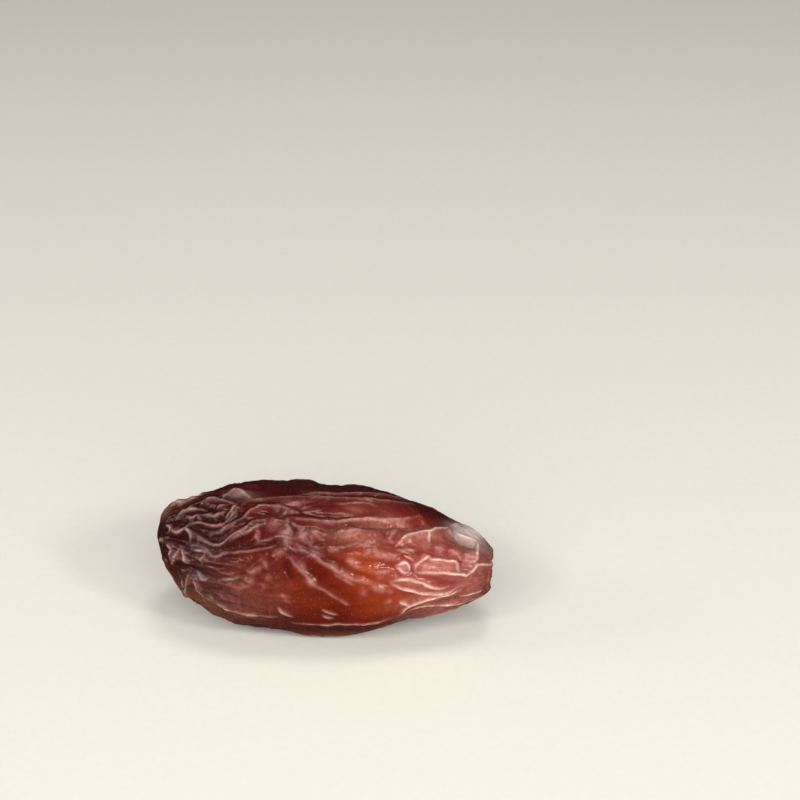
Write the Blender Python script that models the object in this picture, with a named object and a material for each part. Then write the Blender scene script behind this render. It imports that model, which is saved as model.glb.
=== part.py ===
"""A dried date lying on its side, modelled at its real size as one solid.

The fruit is a long, slightly flattened ellipsoid. Its girth changes from the puckered tip
at -X to the blunt stem end at +X. Drying has left its skin in folds, which are raised from
the bare fruit as crests and creases. A fold follows a path on the skin, a short list of
(millimetres from the tip, degrees round the fruit), where 0 degrees faces -Y, 90 degrees is
the top and -90 degrees is the side that the fruit rests on.
"""

import random

import bmesh
import bpy
import numpy as np
from mathutils import noise

MM = 0.001

LENGTH = 46.0 * MM
HALF_WIDTH = 10.9 * MM
HALF_HEIGHT = 9.4 * MM
# 2 would make every section an ellipse, and more makes it squarer.
SECTION_POWER = 2.3
# How far the lowest skin is pressed flat by what the fruit rests on.
PRESSED_FLAT = 0.35 * MM
# Most of the relief is pressed out round that spot: the share, and the spot's middle and size.
SPOT_FLATTENING = 0.85
SPOT_X = -1.5 * MM
SPOT_HALF_LENGTH = 8.0 * MM
SPOT_HALF_WIDTH = 5.0 * MM
# Skin no higher than this after the thinning lies on the plane of the spot.
SPOT_TOLERANCE = 0.06 * MM

# Girth as a share of the plain ellipsoid's, by the share of the length from the tip.
GIRTH_STATIONS = (0.0, 0.05, 0.1, 0.2, 0.35, 0.5, 0.65, 0.8, 0.9, 0.96, 1.0)
GIRTH_SHARES = (0.97, 1.02, 1.06, 1.11, 1.02, 0.97, 0.94, 0.855, 0.9, 1.07, 1.4)
# Height of the fruit's middle line over its level in the fat part. The tip is turned up.
RISE_STATIONS = (0.0, 0.05, 0.1, 0.2, 0.35, 0.5, 0.65, 0.8, 0.9, 1.0)
RISE_HEIGHTS = (2.1, 1.5, 0.75, 0.15, 0.0, -0.15, -0.2, -0.2, -0.4, -0.6)

# The mesh that the folds are raised on, and the share of its faces that stay.
SEGMENTS_ROUND = 256
SEGMENTS_ALONG = 190
FACES_KEPT = 0.1

DATE_RED = (0.17, 0.022, 0.011, 1.0)

# A crest is rounded over this share of its spread, and has a trough this many times wider at
# its foot, of this share of its height.
ROUNDING = 0.22
TROUGH_WIDTH = 2.4
TROUGH = 0.18
# A fold is level along its middle and runs out at its ends, faster with a lower power.
END_FADE = 0.6
# How many spreads away a fold is still felt.
FOLD_REACH = 5.0
# Folds that meet are joined as a norm of this power, so that they don't stand on each other.
JOIN_POWER = 3.0
# Every fold is made this much taller than its list says.
FOLD_GAIN = 1.35

# Each fold is (height in mm, or depth if negative; spread in mm; lean; path). A lean of 0
# gives both flanks the same slope, and +1 or -1 makes one flank twice as long.
LONG_FOLDS = (
    (0.55, 0.6, 0.4, ((8.5, 48), (10, 51), (11.2, 57), (12.9, 64), (14.8, 74), (18.2, 75), (20, 72))),
    (0.50, 0.5, 0.0, ((5, 58), (6.8, 59), (9, 55), (10.2, 57), (11, 64), (12.3, 76))),
    (0.55, 0.6, 0.3, ((5.5, 53), (7.1, 45), (9.8, 40), (11.4, 47), (13, 53), (14.2, 60), (16, 64))),
    (0.45, 0.6, -0.4, ((5, 38), (8, 37), (9.3, 31), (12, 36), (15.5, 39), (18, 45))),
    (-0.45, 0.7, 0.0, ((9.4, 36), (13.2, 40), (16.2, 44), (19, 47))),
    (0.35, 0.5, 0.0, ((14.8, 44), (16, 47), (18, 50), (20, 49), (22, 46), (24, 41))),
    (-0.22, 0.4, 0.0, ((19.5, 46), (22.2, 41), (24.4, 38), (26.8, 31), (29.5, 25), (31.1, 21))),
    (0.50, 0.7, 0.3, ((18.2, 44), (20.8, 41), (22.7, 37), (24.7, 31), (27.7, 21), (31.5, 14))),
    (0.45, 0.8, 0.3, ((19.1, 37), (20.4, 30), (22.2, 19), (23.2, 14), (24.6, 9), (27.6, -6))),
    (-0.40, 0.5, 0.0, ((19.2, 35), (19.2, 26), (19.7, 20), (20.5, 18))),
    (0.50, 0.9, 0.6, ((11.5, 66), (12.5, 78), (14.8, 84), (18.4, 88), (23.8, 93), (31, 98), (36, 114))),
    (-0.40, 0.5, 0.0, ((19.7, 71), (21.3, 72), (24.3, 72), (28.9, 73))),
    (0.45, 0.6, 0.0, ((18.6, 66), (22.8, 65), (24.7, 65), (28.5, 71), (31.2, 74), (34, 85), (36, 97))),
    (-0.45, 0.5, 0.0, ((20, 62), (24.3, 60), (27.5, 66), (30, 67), (32, 70), (34.3, 76), (37, 90))),
    (0.40, 0.8, 0.0, ((18.5, 91), (20.3, 96), (24, 100), (31.3, 107), (34.5, 113))),
)
MIDDLE_SWELLS = (
    (0.35, 0.9, 0.0, ((25.7, 58), (27.6, 61), (31.8, 60))),
    (0.45, 0.9, 0.0, ((29.4, 40), (29.8, 43), (31.9, 42), (34.6, 43))),
    (0.30, 0.8, 0.0, ((27.2, 35), (28.4, 32), (31.1, 28), (32.9, 26))),
    (0.30, 0.9, 0.0, ((30.2, 15), (32.4, 9), (34.1, 2))),
    (-0.30, 0.4, 0.0, ((11.7, 13), (13.2, 17), (14.3, 25), (15.2, 29), (16, 30))),
    (0.35, 0.6, 0.0, ((13.6, 15), (14.3, 20), (15, 24), (15.8, 23), (16.2, 20))),
    (-0.20, 0.4, 0.0, ((15.7, 29), (16.7, 21), (17.4, 19), (17.9, 21))),
    (0.35, 0.5, 0.0, ((14.1, 0), (15.9, 7), (16.6, 14), (15.9, 22))),
    (0.30, 0.7, 0.0, ((16.6, 19), (17.4, 13), (18.8, 11), (20.7, 12))),
    (0.25, 0.8, 0.0, ((33.2, 70), (32.7, 59), (32.4, 55))),
)
STEM_END_FOLDS = (
    (0.50, 0.6, 0.4, ((33.3, 51), (34.4, 61), (36.3, 71), (37.6, 78), (38.5, 86), (40, 100))),
    (0.30, 0.4, 0.0, ((37.4, 76), (37.6, 69), (37.6, 63))),
    (0.40, 0.4, 0.0, ((36.2, 27), (36.1, 32), (36.4, 36), (37.7, 44), (38.2, 41), (41.2, 42), (41.8, 27))),
    (0.45, 0.4, 0.3, ((36.2, 26), (41.8, 26), (42.6, 24), (43.6, 34), (44.1, 41), (45.2, 46), (45.8, 61))),
    (0.50, 0.5, 0.3, ((33, 17), (34.6, 19), (36.8, 15), (37.7, 10), (39.4, 5), (40.4, 6))),
    (0.45, 0.4, -0.3, ((33.1, 16), (34.6, 9), (36.5, 1), (38.2, -3), (40.1, -4), (42, 5))),
    (0.55, 0.5, 0.4, ((34.1, -30), (34.8, -20), (36.1, -14), (38, -10), (40.6, -7), (42.2, -2))),
    (0.40, 0.5, 0.0, ((34.8, -27), (37.4, -23), (39.7, -29), (42.1, -34), (43.9, -36), (45.4, -49))),
    (0.30, 0.5, 0.0, ((42.2, -16), (44.2, -16), (45.1, -17))),
    (-0.40, 0.5, 0.0, ((40.5, 98), (41.5, 80), (43.3, 74), (43.9, 69))),
    (0.40, 0.5, 0.0, ((41, 99), (41.6, 90), (42.7, 88), (44, 95))),
    (0.40, 0.6, 0.0, ((40.2, 106), (41.3, 123), (42.4, 124), (44.6, 115))),
    (0.40, 0.5, 0.0, ((44, 92), (43.9, 73), (43.9, 44))),
    (0.40, 0.4, 0.0, ((33.6, 33), (34, 35), (34.8, 37), (35.2, 33), (35.4, 26))),
    (0.35, 0.4, 0.0, ((33.6, 32), (34, 30), (34.5, 26), (35.4, 25))),
    (0.35, 0.5, 0.0, ((34.2, -7), (35.3, -17))),
)
TIP_FOLDS = (
    (0.54, 0.70, 0.0, ((2.5, 66), (4, 76), (6, 77), (7.4, 74))),
    (0.61, 0.88, 0.3, ((2.3, 71), (4.6, 83), (6.2, 89), (9.5, 82), (11.6, 77))),
    (0.47, 0.70, 0.0, ((4.3, 66), (4.9, 68), (5.7, 66), (6.3, 69), (7, 61))),
    (0.47, 0.70, 0.0, ((6.5, 69), (8, 67), (8.6, 66), (10, 70))),
    (0.54, 0.70, 0.0, ((8.6, 74), (9.3, 75), (10.1, 77))),
    (0.61, 0.70, 0.0, ((10.3, 64), (10.8, 68), (11.7, 75))),
    (0.35, 0.60, 0.0, ((9, 86), (10.1, 95), (11.3, 95), (13.5, 82))),
    (0.47, 0.95, 0.0, ((1, 104), (3.5, 101), (5.2, 109), (6.5, 121))),
    (0.47, 0.70, 0.0, ((2.7, 47), (4, 49), (5.2, 58))),
    (0.61, 0.70, 0.0, ((5.2, 58), (4.9, 54), (5.5, 51), (5.9, 47), (5.5, 40))),
    (0.47, 0.70, 0.0, ((1.5, 61), (2.6, 51), (2, 43))),
    (0.47, 0.70, 0.0, ((0.7, 27), (1.7, 32), (1.5, 23))),
    (0.61, 0.70, 0.0, ((2.1, 29), (2.9, 26), (3.4, 22), (3.3, 13), (2.7, -1))),
    (0.41, 0.70, 0.0, ((1.6, -12), (2.1, -6), (2.1, -19))),
    (0.65, 0.88, 0.0, ((4.6, 32), (4.1, 21), (3.4, 6), (3, -7))),
    (0.54, 0.70, 0.0, ((4.7, 32), (5.6, 20), (5.9, 17))),
    (0.54, 0.70, 0.0, ((6.2, 33), (7.7, 34), (8.7, 32))),
    (0.54, 0.70, 0.0, ((8.2, 32), (8, 29), (7.6, 22))),
    (-0.40, 0.60, 0.0, ((2.9, -2), (5, 11), (8.2, 11), (10.8, 10))),
    (0.47, 0.95, 0.0, ((3.6, -9), (4.4, -19), (4.9, -40))),
    (0.61, 0.88, 0.0, ((5.7, 5), (5.6, -3), (5.2, -14), (4.9, -25))),
    (0.54, 0.88, 0.0, ((6.7, 4), (7.2, -11), (7.4, -24))),
)
LOW_FOLDS = (
    (0.45, 0.5, 0.0, ((18.1, -10), (18.6, -14), (20, -20))),
    (-0.35, 0.7, 0.0, ((8.4, -5), (10.4, -2), (12, -5), (14.7, -16))),
    (0.35, 0.7, 0.4, ((7.9, -18), (10.5, -19), (14.7, -22), (17.8, -23))),
    (-0.15, 0.7, 0.0, ((23.7, -7), (29.6, -8), (33.6, -10))),
    (0.30, 0.4, 0.0, ((24, -11), (26, -16))),
    (0.30, 0.4, 0.0, ((24, -17), (25.4, -20))),
    (0.30, 0.7, 0.0, ((19.7, -30), (26.7, -26), (33.4, -31))),
)

# The folds of the far side and the underside follow a rule: rows of crests end to end, with
# creases between them.
RULE_SEED = 11
RULE_FIRST_DEGREES = 132.0
RULE_LAST_DEGREES = 312.0
RULE_ROWS = 18
RULE_START_MM = 2.5
RULE_END_MM = 43.0
RULE_LENGTHS_MM = (5.0, 15.0)
RULE_GAPS_MM = (0.3, 1.8)
RULE_HEIGHTS_MM = (0.3, 0.6)
RULE_SPREADS_MM = (0.5, 1.0)
RULE_CREASE_EVERY = 4
RULE_STEP_MM = 2.4
RULE_WANDER_DEGREES = 3.2

# Between the folds the whole skin has small wrinkles, which run lengthwise. Each layer is
# (length in mm, width in mm, height in mm, width of a crest as a share of the layer's range).
WRINKLE_LAYERS = ((11.0, 3.6, 0.5, 0.22), (6.0, 1.7, 0.25, 0.25))
# The share of those heights that stays, by the share of the length from the tip.
WRINKLE_STATIONS = (0.0, 0.05, 0.15, 0.28, 0.4, 0.7, 0.85, 0.95, 1.0)
WRINKLE_SHARES = (0.5, 1.2, 1.2, 0.8, 0.55, 0.5, 0.4, 0.25, 0.0)
# How far the wrinkles bend sideways, in radians, in patches this long and wide in mm.
WRINKLE_DRIFT = 0.45
DRIFT_PATCH_MM = (12.0, 9.0)
# Slow swells of the whole skin, and the length and width of one.
SWELL_HEIGHT = 0.45 * MM
SWELL_PATCH_MM = (13.0, 7.0)

# The full places of the fruit's form: low on its front, where it sags over the spot that it
# rests on, high on its back, and over its tip. Each is (millimetres from the tip, degrees round
# the fruit, half length in mm, half width in mm, height in mm).
BULGES = (
    (21.0, -55, 9.0, 3.6, 0.60),
    (32.0, 113, 6.0, 3.6, 0.85),
    (1.6, 112, 1.6, 2.4, 0.60),
)
BULGE_RADIUS_MM = 10.0
# The relief fades out this near the tip's very end, which is left round.
KNOB_LENGTH = 0.7 * MM

# The stem came off at the blunt end and left a shallow round scar with a raised ring.
SCAR_RADIUS = 2.1 * MM
SCAR_DEPTH = 0.5 * MM
SCAR_RING = 0.3 * MM
SCAR_RING_WIDTH = 0.5 * MM


def clear_scene():
    for old in list(bpy.data.objects):
        bpy.data.objects.remove(old)


def eased(at, stations, values):
    """A smooth curve through (stations, values), read at each number in at."""
    stations, values = np.array(stations), np.array(values)
    slopes = np.gradient(values, stations)
    first = np.clip(np.searchsorted(stations, at) - 1, 0, len(stations) - 2)
    step = stations[first + 1] - stations[first]
    t = (at - stations[first]) / step
    ease = t * t * (3 - 2 * t)
    return (
        values[first] * (1 - ease)
        + values[first + 1] * ease
        + step * slopes[first] * t * (1 - t) ** 2
        - step * slopes[first + 1] * t * t * (1 - t)
    )


def girth_at(share):
    """Girth at shares of the length, where 1 is the girth of the plain ellipsoid's middle."""
    round_ends = np.sqrt(np.clip(1 - (1 - 2 * share) ** 2, 0, 1))
    return round_ends * eased(share, GIRTH_STATIONS, GIRTH_SHARES)


def bare_fruit(share, angle):
    """Points of the fruit without its folds, at shares of the length and angles in radians."""
    girth = girth_at(share)
    across, up = np.cos(angle), np.sin(angle)
    power = SECTION_POWER
    square = (np.abs(across) ** power + np.abs(up) ** power) ** (-1 / power)
    middle = HALF_HEIGHT - PRESSED_FLAT + eased(share, RISE_STATIONS, RISE_HEIGHTS) * MM
    return np.stack(
        [
            (share - 0.5) * LENGTH,
            -HALF_WIDTH * girth * across * square,
            HALF_HEIGHT * girth * up * square + middle,
        ],
        axis=-1,
    )


def outward_of(share, angle, points):
    """The direction out of the bare fruit at each of its points."""
    nudge = 1e-4
    inner = np.clip(share, nudge * 2, 1 - nudge * 2)
    lengthwise = bare_fruit(inner + nudge, angle) - bare_fruit(inner - nudge, angle)
    crosswise = bare_fruit(inner, angle + nudge) - bare_fruit(inner, angle - nudge)
    outward = np.cross(crosswise, lengthwise)
    outward /= np.linalg.norm(outward, axis=1, keepdims=True)
    from_middle = points - np.array([0, 0, HALF_HEIGHT])
    return outward * np.sign((from_middle * outward).sum(1, keepdims=True))


def smooth_path(path, points_a_span=6):
    """The points of a fold's path on the bare skin, with its corners rounded."""
    knots = np.array(path, float)
    padded = np.vstack([2 * knots[0] - knots[1], knots, 2 * knots[-1] - knots[-2]])
    t = np.linspace(0, 1, points_a_span, endpoint=False)[:, None]
    spans = []
    for a, b, c, d in zip(padded, padded[1:], padded[2:], padded[3:]):
        bend = 2 * a - 5 * b + 4 * c - d + t * (3 * (b - c) + d - a)
        spans.append(b + 0.5 * t * (c - a + t * bend))
    run = np.vstack([*spans, knots[-1:]])
    share = np.clip(run[:, 0] * MM / LENGTH, 0.001, 0.999)
    return bare_fruit(share, np.radians(run[:, 1]))


def place_on_path(line, points, outward):
    """Each point's distance from the line, its distance to the side, and its share of the run."""
    spans = np.diff(line, axis=0)
    lengths = np.linalg.norm(spans, axis=1)
    begins = np.concatenate([[0], np.cumsum(lengths)])
    nearest = ((line**2).sum(1) - 2 * points @ line.T).argmin(1)
    away = np.full(len(points), np.inf)
    side, run = np.zeros(len(points)), np.zeros(len(points))
    for step in (-1, 0):
        span = np.clip(nearest + step, 0, len(spans) - 1)
        along = spans[span]
        t = np.clip(((points - line[span]) * along).sum(1) / lengths[span] ** 2, 0, 1)
        offset = points - line[span] - t[:, None] * along
        distance = np.linalg.norm(offset, axis=1)
        closer = distance < away
        across = (np.cross(along, outward) * offset).sum(1) / lengths[span]
        away = np.where(closer, distance, away)
        side = np.where(closer, across, side)
        run = np.where(closer, (begins[span] + t * lengths[span]) / begins[-1], run)
    return away, side, run


def fold_height(fold, points, outward):
    """The height of one fold over each point that it reaches, and those points' rows."""
    height, spread, lean, path = fold
    spread *= MM
    line = smooth_path(path)
    reach = FOLD_REACH * spread
    inside = (points > line.min(0) - reach) & (points < line.max(0) + reach)
    rows = np.flatnonzero(inside.all(1))
    away, side, run = place_on_path(line, points[rows], outward[rows])
    wide = spread * (1 + lean * np.tanh(side / spread))
    fade = np.sin(np.pi * np.clip(run, 0.02, 0.98)) ** END_FADE
    round_top = ROUNDING * wide
    peak = np.exp(-(np.hypot(away, round_top) - round_top) / wide)
    trough = TROUGH * np.exp(-((away / (TROUGH_WIDTH * wide)) ** 2))
    return abs(height) * MM * fade * (peak - trough), rows


def folds_by_rule():
    """Lengthwise folds, end to end in rows round the far side and the underside."""
    draw = random.Random(RULE_SEED)
    folds = []
    for row_degrees in np.linspace(RULE_FIRST_DEGREES, RULE_LAST_DEGREES, RULE_ROWS):
        at = RULE_START_MM + draw.uniform(0, 3)
        while at < RULE_END_MM - RULE_STEP_MM:
            end = min(at + draw.uniform(*RULE_LENGTHS_MM), RULE_END_MM)
            degrees = row_degrees + draw.uniform(-1, 1) * RULE_WANDER_DEGREES
            path = []
            while at < end or len(path) < 2:
                path.append((at, degrees))
                at += RULE_STEP_MM
                degrees += draw.uniform(-1, 1) * RULE_WANDER_DEGREES
            height = draw.uniform(*RULE_HEIGHTS_MM)
            if len(folds) % RULE_CREASE_EVERY == 0:
                height = -height
            spread = draw.uniform(*RULE_SPREADS_MM)
            folds.append((height, spread, draw.uniform(-0.5, 0.5), path))
            at += draw.uniform(*RULE_GAPS_MM)
    return folds


def all_folds():
    placed = LONG_FOLDS + MIDDLE_SWELLS + STEM_END_FOLDS + TIP_FOLDS + LOW_FOLDS
    return list(placed) + folds_by_rule()


def folded(points, outward):
    """How far the folds stand out from the bare fruit at each point."""
    crests, creases = np.zeros(len(points)), np.zeros(len(points))
    for fold in all_folds():
        height, rows = fold_height(fold, points, outward)
        joined = crests if fold[0] > 0 else creases
        joined[rows] += np.sign(height) * np.abs(height / MM) ** JOIN_POWER
    crests = np.sign(crests) * np.abs(crests) ** (1 / JOIN_POWER)
    creases = np.sign(creases) * np.abs(creases) ** (1 / JOIN_POWER)
    return FOLD_GAIN * MM * (crests - creases)


def patches(share, angle, long, wide, layer):
    """Smooth random numbers from -1 to 1 over the skin, in patches this long and wide in mm."""
    radius = HALF_WIDTH / MM / wide
    places = np.stack(
        [
            share * LENGTH / MM / long + 7.3 * layer,
            radius * np.cos(angle) + 3.1 * layer,
            radius * np.sin(angle),
        ],
        axis=-1,
    )
    return np.array([noise.noise(place) for place in places])


def small_wrinkles(share, angle):
    """The height of the small wrinkles and the slow swells at each point."""
    bent = angle + WRINKLE_DRIFT * patches(share, angle, *DRIFT_PATCH_MM, 9)
    height = np.zeros(len(share))
    for layer, (long, wide, tall, crest) in enumerate(WRINKLE_LAYERS):
        field = patches(share, bent, long, wide, layer)
        height += tall * MM * (np.exp(-np.abs(field) / crest) - 0.5)
    height *= eased(share, WRINKLE_STATIONS, WRINKLE_SHARES)
    return height + SWELL_HEIGHT * patches(share, angle, *SWELL_PATCH_MM, 5)


def bulges(share, angle):
    """How far the full places stand out at each point."""
    height = np.zeros(len(share))
    for at, degrees, half_length, half_width, tall in BULGES:
        along = (share * LENGTH / MM - at) / half_length
        off = (angle - np.radians(degrees) + np.pi) % (2 * np.pi) - np.pi
        across = off * BULGE_RADIUS_MM * girth_at(share) / half_width
        height += tall * MM * np.exp(-(along**2) - across**2)
    return height


def stem_scar(points):
    """The relief of the scar, which lies round the blunt end's middle."""
    middle = bare_fruit(np.array([1.0]), np.array([0.0]))[0]
    off_axis = np.hypot(points[:, 1] - middle[1], points[:, 2] - middle[2])
    off_axis = np.where(points[:, 0] > 0, off_axis, LENGTH)
    dish = SCAR_DEPTH * np.exp(-((off_axis / SCAR_RADIUS) ** 4))
    ring = SCAR_RING * np.exp(-(((off_axis - 1.25 * SCAR_RADIUS) / SCAR_RING_WIDTH) ** 2))
    return ring - dish


def relief_kept(points):
    """The share of the relief that isn't pressed out, or faded out at the tip, at each point."""
    lengthwise = (points[:, 0] - SPOT_X) / SPOT_HALF_LENGTH
    crosswise = points[:, 1] / SPOT_HALF_WIDTH
    spot = np.exp(-(lengthwise**2) - crosswise**2)
    pressed = SPOT_FLATTENING * np.where(points[:, 2] < HALF_HEIGHT, spot, 0)
    from_tip = points[:, 0] + LENGTH / 2
    return (1 - pressed) * (1 - np.exp(-((from_tip / KNOB_LENGTH) ** 2)))


def wrinkled_skin(share, angle):
    """Points of the finished skin: the bare fruit, its relief and its pressed underside."""
    points = bare_fruit(share, angle)
    outward = outward_of(share, angle, points)
    relief = folded(points, outward) + small_wrinkles(share, angle) + stem_scar(points)
    raised = relief_kept(points) * relief + bulges(share, angle)
    points = points + outward * raised[:, None]
    points[:, 2] = np.maximum(points[:, 2], 0)
    return points


def build_date():
    """The date as one object, on a mesh that a modifier thins out."""
    ball = bmesh.new()
    bmesh.ops.create_uvsphere(
        ball, u_segments=SEGMENTS_ROUND, v_segments=SEGMENTS_ALONG, radius=1
    )
    places = np.array([vertex.co for vertex in ball.verts])
    share = (1 - np.clip(places[:, 2], -1, 1)) / 2
    angle = np.arctan2(places[:, 1], places[:, 0])
    for vertex, place in zip(ball.verts, wrinkled_skin(share, angle)):
        vertex.co = place
    bmesh.ops.recalc_face_normals(ball, faces=ball.faces)
    mesh = bpy.data.meshes.new("date")
    ball.to_mesh(mesh)
    ball.free()
    date = bpy.data.objects.new("date", mesh)
    collection = bpy.data.collections.new("dried_date")
    bpy.context.scene.collection.children.link(collection)
    collection.objects.link(date)
    fewer = date.modifiers.new("fewer faces", "DECIMATE")
    fewer.ratio = FACES_KEPT
    return date


def centre_over_origin(date):
    """Keeps the thinned mesh, levels its resting spot, and centres its box over the origin."""
    bpy.context.view_layer.update()
    graph = bpy.context.evaluated_depsgraph_get()
    thinned = bpy.data.meshes.new_from_object(date.evaluated_get(graph))
    date.modifiers.clear()
    date.data = thinned
    places = np.array([vertex.co for vertex in thinned.vertices])
    places[:, 2] = np.where(places[:, 2] < SPOT_TOLERANCE, 0, places[:, 2])
    middle = (places.min(0) + places.max(0)) / 2
    places[:, :2] -= middle[:2]
    for vertex, place in zip(thinned.vertices, places):
        vertex.co = place


def skin_material():
    material = bpy.data.materials.new("date skin")
    material.use_nodes = True
    shader = material.node_tree.nodes["Principled BSDF"]
    shader.inputs["Base Color"].default_value = DATE_RED
    shader.inputs["Roughness"].default_value = 0.35
    shader.inputs["Metallic"].default_value = 0.0
    return material


def main():
    clear_scene()
    date = build_date()
    centre_over_origin(date)
    date.data.materials.clear()
    date.data.materials.append(skin_material())
    date.data.shade_smooth()


main()
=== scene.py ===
"""A dried date lying on its side, finished for its photograph.

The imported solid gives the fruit's place and size. Its skin is made again here, finer, on the same
plan: the bare fruit, the folds that drying has raised on it, and the small wrinkles between them.
Blisters, crumples at the tip and a faint pebbling are added to that plan.
A place on the skin is (millimetres from the puckered tip, degrees round the fruit), where 0
degrees faces -Y, 90 degrees is the top and -90 degrees is the side that the fruit rests on.
"""

import math
import random

import bpy
import numpy as np
from mathutils import Matrix, Vector, noise


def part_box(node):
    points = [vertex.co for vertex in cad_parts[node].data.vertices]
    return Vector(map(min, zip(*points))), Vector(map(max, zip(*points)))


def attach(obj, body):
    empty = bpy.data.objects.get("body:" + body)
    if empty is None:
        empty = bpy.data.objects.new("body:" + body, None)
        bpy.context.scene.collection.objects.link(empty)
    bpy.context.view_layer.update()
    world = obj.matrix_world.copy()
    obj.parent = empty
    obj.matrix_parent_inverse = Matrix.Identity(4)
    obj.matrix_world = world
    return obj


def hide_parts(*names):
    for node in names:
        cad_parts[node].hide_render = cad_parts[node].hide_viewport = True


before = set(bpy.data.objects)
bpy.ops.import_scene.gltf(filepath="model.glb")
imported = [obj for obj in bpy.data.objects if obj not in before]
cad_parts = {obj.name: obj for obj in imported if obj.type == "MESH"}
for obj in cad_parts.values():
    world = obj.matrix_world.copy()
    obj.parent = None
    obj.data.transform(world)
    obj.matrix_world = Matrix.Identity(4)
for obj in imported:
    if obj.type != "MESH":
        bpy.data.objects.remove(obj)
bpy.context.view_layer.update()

# The flesh under the skin: one long soft body with a stone in it, which has sunk a little under
# its own weight. It is thickest before its middle, and its tip is turned up.
MM = 0.001
LENGTH = 46.0
HALF_WIDTH = 10.9
HALF_HEIGHT = 9.4
SECTION_POWER = 2.3
PRESSED_FLAT = 0.35
GIRTH_STATIONS = (0.0, 0.05, 0.1, 0.2, 0.35, 0.5, 0.65, 0.8, 0.9, 0.96, 1.0)
GIRTH_SHARES = (0.97, 1.02, 1.06, 1.11, 1.02, 0.97, 0.94, 0.855, 0.9, 1.07, 1.4)
RISE_STATIONS = (0.0, 0.05, 0.1, 0.2, 0.35, 0.5, 0.65, 0.8, 0.9, 1.0)
RISE_HEIGHTS = (2.1, 1.5, 0.75, 0.15, 0.0, -0.15, -0.2, -0.2, -0.4, -0.6)


def eased(at, stations, values):
    """A smooth curve through (stations, values), read at each number in at."""
    stations, values = np.array(stations), np.array(values)
    slopes = np.gradient(values, stations)
    first = np.clip(np.searchsorted(stations, at) - 1, 0, len(stations) - 2)
    step = stations[first + 1] - stations[first]
    t = (at - stations[first]) / step
    ease = t * t * (3 - 2 * t)
    return (
        values[first] * (1 - ease)
        + values[first + 1] * ease
        + step * slopes[first] * t * (1 - t) ** 2
        - step * slopes[first + 1] * t * t * (1 - t)
    )


def girth_at(share):
    """Girth at shares of the length, where 1 is the girth of the plain ellipsoid's middle."""
    round_ends = np.sqrt(np.clip(1 - (1 - 2 * share) ** 2, 0, 1))
    return round_ends * eased(share, GIRTH_STATIONS, GIRTH_SHARES)


def bare_fruit(share, angle):
    """Points of the fruit without its folds, at shares of the length and angles in radians."""
    girth = girth_at(share)
    across, up = np.cos(angle), np.sin(angle)
    power = SECTION_POWER
    square = (np.abs(across) ** power + np.abs(up) ** power) ** (-1 / power)
    middle = HALF_HEIGHT - PRESSED_FLAT + eased(share, RISE_STATIONS, RISE_HEIGHTS)
    return np.stack(
        [
            (share - 0.5) * LENGTH,
            -HALF_WIDTH * girth * across * square,
            HALF_HEIGHT * girth * up * square + middle,
        ],
        axis=-1,
    )


def outward_of(share, angle, points):
    """The direction out of the bare fruit at each of its points."""
    nudge = 1e-4
    inner = np.clip(share, nudge * 2, 1 - nudge * 2)
    lengthwise = bare_fruit(inner + nudge, angle) - bare_fruit(inner - nudge, angle)
    crosswise = bare_fruit(inner, angle + nudge) - bare_fruit(inner, angle - nudge)
    outward = np.cross(crosswise, lengthwise)
    outward /= np.linalg.norm(outward, axis=1, keepdims=True)
    from_middle = points - np.array([0, 0, HALF_HEIGHT])
    return outward * np.sign((from_middle * outward).sum(1, keepdims=True))


# The grid that the skin is made on. Its rows are evenly spaced along the skin from tip to stem
# end, and each row is one ring of points round the fruit.
ROWS = 336
COLUMNS = 294

profile_shares = (1 - np.cos(np.linspace(0, math.pi, 4000))) / 2
profile = bare_fruit(profile_shares, np.zeros_like(profile_shares))
profile_run = np.concatenate([[0], np.cumsum(np.linalg.norm(np.diff(profile, axis=0), axis=1))])
row_places = np.arange(1, ROWS + 1) / (ROWS + 1) * profile_run[-1]
row_shares = np.interp(row_places, profile_run, profile_shares)
column_angles = np.arange(COLUMNS) / COLUMNS * 2 * math.pi - math.pi
row_grid, column_grid = np.meshgrid(row_shares, column_angles, indexing="ij")
share = np.concatenate([row_grid.ravel(), [1e-6, 1 - 1e-6]])
angle = np.concatenate([column_grid.ravel(), [0, 0]])
bare_points = bare_fruit(share, angle)
outward = outward_of(share, angle, bare_points)

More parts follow.
